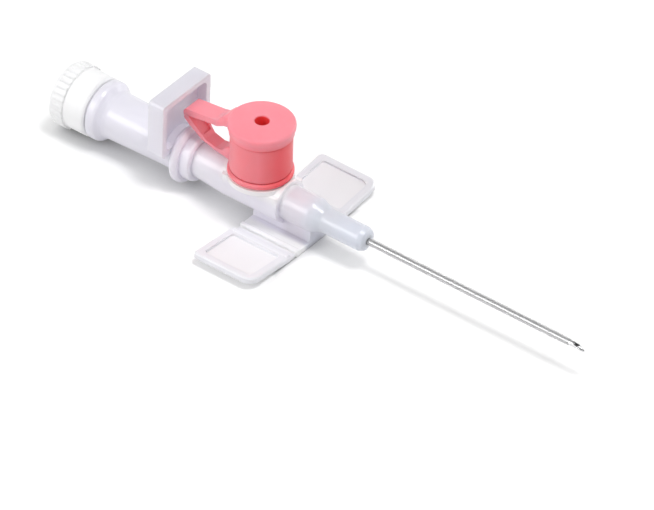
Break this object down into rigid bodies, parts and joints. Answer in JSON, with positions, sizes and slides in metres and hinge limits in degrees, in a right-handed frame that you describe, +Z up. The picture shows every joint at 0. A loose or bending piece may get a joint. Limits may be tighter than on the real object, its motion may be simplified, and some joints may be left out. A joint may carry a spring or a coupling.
{
  "type": "intravenous cannula",
  "caption": "Over-the-needle iv cannula with folding wings, capped injection port, finger plate, blood chamber and vent plug.",
  "frame": {"origin": "in the middle of the flat underside of the wing root, between the two wing hinges", "axes": "+X along the needle towards its point, +Z up towards the port cap, +Y to the left wing"},
  "size_m": [0.0846, 0.0272, 0.0155],
  "materials": {
    "catheter": "smooth thin fluoropolymer tube",
    "steel": "polished stainless steel",
    "hub_plastic": "translucent moulded polypropylene",
    "clear_plastic": "translucent moulded polypropylene",
    "silicone": "soft translucent silicone",
    "cap_plastic": "pink satin polypropylene",
    "white_plastic": "white satin polyethylene",
    "filter": "porous white disc"
  },
  "bodies": {
    "hub": {"catheter_hub": "hub_plastic", "catheter_tube": "catheter", "catheter_eyelet": "steel", "valve_sleeve": "silicone", "cap_ring": "cap_plastic"},
    "needle": {"needle_hub": "clear_plastic", "needle_tube": "steel"},
    "plug": {"vent_plug": "white_plastic", "vent_filter": "filter"},
    "left_wing": {"wing_left": "hub_plastic"},
    "right_wing": {"wing_right": "hub_plastic"},
    "strap_leg": {"cap_lower_arm": "cap_plastic"},
    "strap_arm": {"cap_upper_arm": "cap_plastic"},
    "lid": {"cap_lid": "cap_plastic"}
  },
  "joints": [
    {"name": "needle_withdraw", "type": "slide", "parent": "hub", "child": "needle", "axis": [-1, 0, 0], "range_m": [0, 0.066]},
    {"name": "plug_pull", "type": "slide", "parent": "needle", "child": "plug", "axis": [-1, 0, 0], "range_m": [0, 0.008]},
    {"name": "left_wing_fold", "type": "hinge", "parent": "hub", "child": "left_wing", "pos_m": [0, 0.0047, 0.00045], "axis": [1, 0, 0], "range_deg": [-6, 75]},
    {"name": "right_wing_fold", "type": "hinge", "parent": "hub", "child": "right_wing", "pos_m": [0, -0.0047, 0.00045], "axis": [-1, 0, 0], "range_deg": [-6, 75]},
    {"name": "cap_lift", "type": "hinge", "parent": "hub", "child": "strap_leg", "pos_m": [-0.00929, 0, 0.00867], "axis": [0, 1, 0], "range_deg": [0, 48]},
    {"name": "strap_knuckle", "type": "hinge", "parent": "strap_leg", "child": "strap_arm", "pos_m": [-0.01559, 0, 0.01126], "axis": [0, 1, 0], "range_deg": [-96, 0]},
    {"name": "lid_level", "type": "hinge", "parent": "strap_arm", "child": "lid", "pos_m": [-0.00929, 0, 0.01385], "axis": [0, 1, 0], "range_deg": [0, 48]}
  ],
  "couplings": [
    {"joint": "strap_knuckle", "follows": "cap_lift", "ratio": -2},
    {"joint": "lid_level", "follows": "cap_lift", "ratio": 1}
  ]
}
